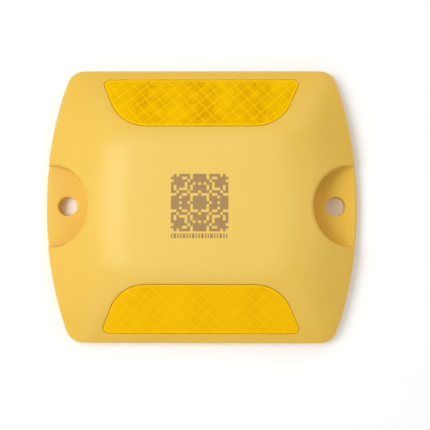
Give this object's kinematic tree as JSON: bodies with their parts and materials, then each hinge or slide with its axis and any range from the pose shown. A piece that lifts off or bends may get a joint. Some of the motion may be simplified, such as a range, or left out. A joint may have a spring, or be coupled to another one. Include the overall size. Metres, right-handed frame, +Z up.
{
  "type": "raised pavement marker",
  "caption": "Low domed road marker with recessed prismatic reflectors on its slopes, bolt-down ears at its ends and a sealed battery-powered radio beacon inside.",
  "frame": {"origin": "middle of the underside, the face that lies on the road", "axes": "+X from ear to ear, along the longest side; +Y towards the rear reflector; +Z up from the road"},
  "size_m": [0.1146, 0.1, 0.022],
  "materials": {
    "casing_yellow": "satin moulded plastic, deep amber yellow",
    "reflector_yellow": "glossy prismatic retroreflective film, signal yellow",
    "adhesive_white": "white acrylic foam adhesive",
    "gasket_grey": "dark grey silicone",
    "foam_black": "black open cell foam",
    "steel": "stainless steel",
    "nickel": "nickel plated strip",
    "board_green": "glass and resin board with green solder mask",
    "module_black": "black moulded plastic",
    "ceramic": "pale ceramic with plated ends",
    "connector_white": "off-white nylon",
    "aluminium_can": "bare aluminium can",
    "led_clear": "clear resin",
    "cell_sleeve": "blue shrink sleeve on a metal can",
    "lead_red": "red insulation",
    "lead_black": "black insulation"
  },
  "bodies": {
    "marker": {"top_shell": "casing_yellow", "base_cover": "casing_yellow", "cover_gasket": "gasket_grey", "front_reflector_sheet": "reflector_yellow", "rear_reflector_sheet": "reflector_yellow", "front_reflector_adhesive": "adhesive_white", "rear_reflector_adhesive": "adhesive_white", "circuit_board": "board_green", "radio_module_board": "board_green", "radio_shield_can": "steel", "chip_antenna": "ceramic", "timing_crystal": "steel", "storage_capacitor": "aluminium_can", "status_led": "led_clear", "wake_switch_body": "module_black", "battery_socket": "connector_white", "battery_plug": "connector_white", "battery_lead_positive": "lead_red", "battery_lead_negative": "lead_black", "battery_cell_1": "cell_sleeve", "battery_cell_2": "cell_sleeve", "cell_link_positive": "nickel", "cell_link_negative": "nickel", "cell_foam_pad": "foam_black", "cover_screw_1": "steel", "cover_screw_2": "steel", "cover_screw_3": "steel", "cover_screw_4": "steel", "cover_screw_5": "steel", "cover_screw_6": "steel", "board_screw_1": "steel", "board_screw_2": "steel", "board_screw_3": "steel", "board_screw_4": "steel"},
    "wake_button": {"wake_switch_button": "lead_red"}
  },
  "joints": [
    {"name": "wake_button_press", "type": "slide", "parent": "marker", "child": "wake_button", "axis": [0, 0, 1], "range_m": [0, 0.00025], "stiffness_N_per_m": 4000}
  ]
}
